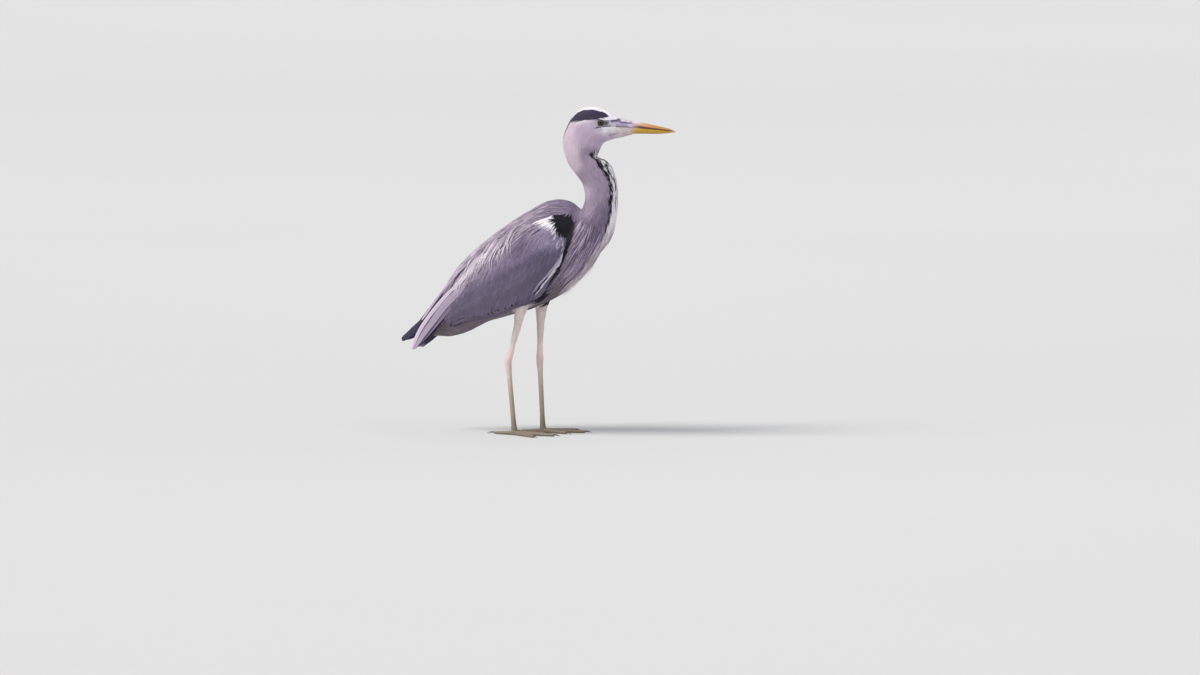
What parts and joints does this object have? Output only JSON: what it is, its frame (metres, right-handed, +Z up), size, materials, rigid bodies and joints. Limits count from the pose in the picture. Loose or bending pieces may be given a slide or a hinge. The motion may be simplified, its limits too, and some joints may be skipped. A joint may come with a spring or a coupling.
{
  "type": "grey heron life-size model",
  "caption": "Life-size still model of a standing grey heron with a long curved neck, dagger bill, folded wings and long legs.",
  "frame": {"origin": "on the floor, under the middle of the bird's whole length and width", "axes": "+X the way the bird faces, +Y its left side, +Z up"},
  "size_m": [0.606, 0.1917, 0.7078],
  "materials": {
    "plumage_grey": "soft matt feathers of the back, wings and tail, lavender grey with paler edges",
    "plumage_neck": "soft matt feathers, pale mauve grey",
    "plumage_white": "soft matt white feathers",
    "plumage_black": "soft indigo black feathers with a slight sheen",
    "plumage_plumes": "long silky pale plumes",
    "bill_brown": "waxy horn, orange brown, pinkish grey at the base",
    "bill_yellow": "waxy yellow horn",
    "eye": "clear wet cornea over a yellow iris and a black pupil",
    "leg_skin": "dry scaled skin, pinkish to greyish brown",
    "claw_horn": "dark smooth horn"
  },
  "bodies": {
    "root": {"head": "plumage_white", "neck_upper": "plumage_neck", "neck_middle": "plumage_neck", "neck_lower": "plumage_neck", "breast": "plumage_neck", "trunk": "plumage_grey", "breast_plumes": "plumage_plumes", "tail": "plumage_grey", "bill_upper": "bill_brown", "bill_lower": "bill_yellow", "eye_right": "eye", "crest_plume_right": "plumage_black", "wing_right": "plumage_grey", "primaries_right": "plumage_black", "thigh_right": "plumage_white", "shank_right": "leg_skin", "tarsus_right": "leg_skin", "foot_right": "leg_skin", "claw_middle_right": "claw_horn", "claw_inner_right": "claw_horn", "claw_outer_right": "claw_horn", "claw_hind_right": "claw_horn", "eye_left": "eye", "crest_plume_left": "plumage_black", "wing_left": "plumage_grey", "primaries_left": "plumage_black", "thigh_left": "plumage_white", "shank_left": "leg_skin", "tarsus_left": "leg_skin", "foot_left": "leg_skin", "claw_middle_left": "claw_horn", "claw_inner_left": "claw_horn", "claw_outer_left": "claw_horn", "claw_hind_left": "claw_horn"}
  },
  "joints": []
}
